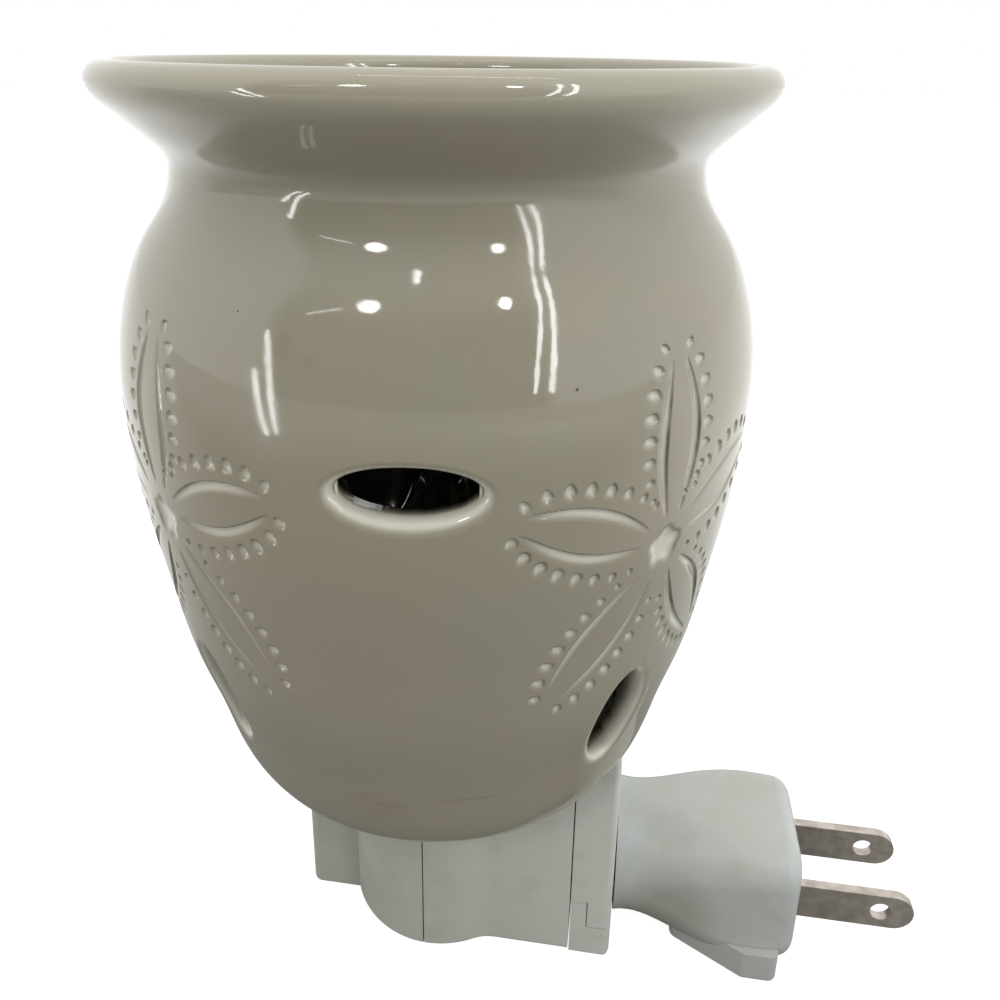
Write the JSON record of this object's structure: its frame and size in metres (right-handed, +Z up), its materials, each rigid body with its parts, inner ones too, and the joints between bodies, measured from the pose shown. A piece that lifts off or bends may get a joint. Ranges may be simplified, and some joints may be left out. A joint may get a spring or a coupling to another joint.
{
  "type": "wax melt warmer",
  "caption": "Plug-in ceramic wax melt warmer: glazed vase with a dish and vents over a small lamp, on a plastic base with a turning plug.",
  "frame": {"origin": "on the lamp's axis, at the flat underside of the plastic base", "axes": "+X along the plug towards the wall socket, +Z up"},
  "size_m": [0.1222, 0.0886, 0.1402],
  "materials": {
    "glaze": "gloss glaze, warm grey-beige",
    "housing_plastic": "off-white, lightly soiled",
    "plug_plastic": "off-white, lightly soiled",
    "blade_metal": "nickel plated, dulled",
    "brass": "plain",
    "holder_plastic": "heat-resistant moulding",
    "screw_steel": "zinc plated",
    "bulb_glass": "clear",
    "stem_glass": "clear",
    "bulb_metal": "nickel-plated brass",
    "bulb_black": "black glass insulator",
    "wire_metal": "drawn wire",
    "switch_plastic": "off-white",
    "rocker_plastic": "off-white",
    "wire_jacket": "insulated wire"
  },
  "bodies": {
    "base": {"housing_front": "housing_plastic", "housing_rear": "housing_plastic", "swivel_bracket_upper": "housing_plastic", "swivel_bracket_lower": "housing_plastic", "bracket_screws": "screw_steel", "lamp_holder": "holder_plastic", "socket_shell": "brass", "centre_contact": "brass", "switch_body": "switch_plastic", "switch_terminals": "brass", "contact_carrier": "holder_plastic", "ring_leaf": "brass", "pin_leaf": "brass", "wire_supply": "wire_jacket", "wire_switched": "wire_jacket", "wire_neutral": "wire_jacket"},
    "vase": {"ceramic_body": "glaze"},
    "bulb": {"bulb_glass": "bulb_glass", "bulb_screw_shell": "bulb_metal", "bulb_insulator": "bulb_black", "bulb_tip_contact": "bulb_metal", "bulb_stem": "stem_glass", "bulb_support_wires": "wire_metal", "bulb_filament": "wire_metal"},
    "plug": {"plug_body": "plug_plastic", "plug_cover": "plug_plastic", "blade_line": "blade_metal", "blade_neutral": "blade_metal", "line_link": "brass", "neutral_link": "brass", "slip_ring": "brass", "slip_pin": "brass"},
    "rocker": {"switch_rocker": "rocker_plastic"}
  },
  "joints": [
    {"name": "vase_lift", "type": "slide", "parent": "base", "child": "vase", "axis": [0, 0, 1], "range_m": [0, 0.08]},
    {"name": "bulb_unscrew", "type": "slide", "parent": "base", "child": "bulb", "axis": [0, 0, 1], "range_m": [0, 0.014]},
    {"name": "plug_swivel", "type": "hinge", "parent": "base", "child": "plug", "pos_m": [0.0303, 0, 0.0116], "axis": [1, 0, 0], "range_deg": [-90, 90]},
    {"name": "rocker_tip", "type": "hinge", "parent": "base", "child": "rocker", "pos_m": [-0.019, 0, 0.014], "axis": [0, 1, 0], "range_deg": [0, 16]}
  ]
}
